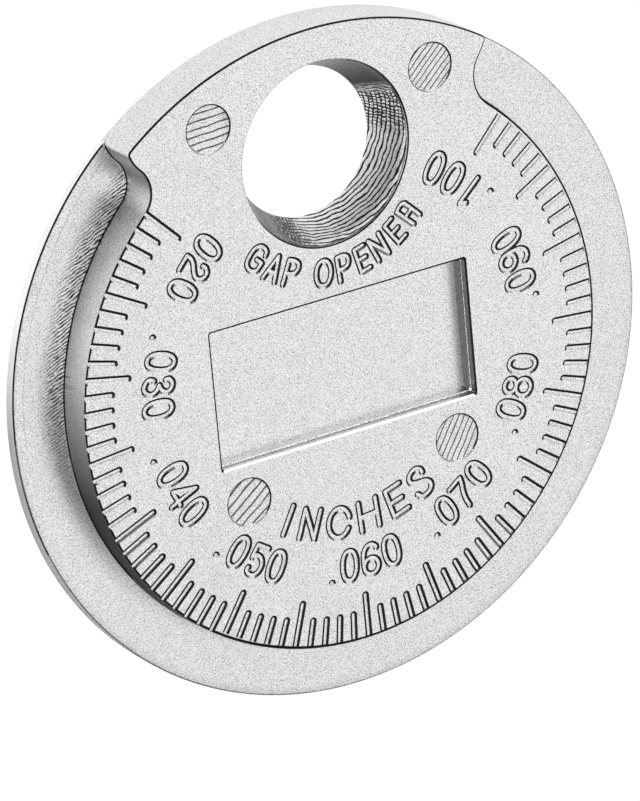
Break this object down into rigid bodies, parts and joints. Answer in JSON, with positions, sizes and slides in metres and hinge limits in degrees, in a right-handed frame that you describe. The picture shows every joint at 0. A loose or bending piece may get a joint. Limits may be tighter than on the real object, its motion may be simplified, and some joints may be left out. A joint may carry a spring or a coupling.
{
  "type": "spark plug gap gauge",
  "caption": "Coin-shaped cast gauge whose thin rim thickens along an engraved inch scale to set a spark plug's gap, with a tapered hole for bending the electrode.",
  "frame": {"origin": "on the disc's axis at the flat back", "axes": "+Z from the flat back towards the engraved face, +Y towards the hole in the lug, +X along the sunk rectangle"},
  "size_m": [0.0382, 0.0382, 0.003],
  "materials": {
    "cast_metal": "satin bright plating on a fine-grained zinc die casting"
  },
  "bodies": {
    "root": {"gauge_body": "cast_metal"}
  },
  "joints": []
}
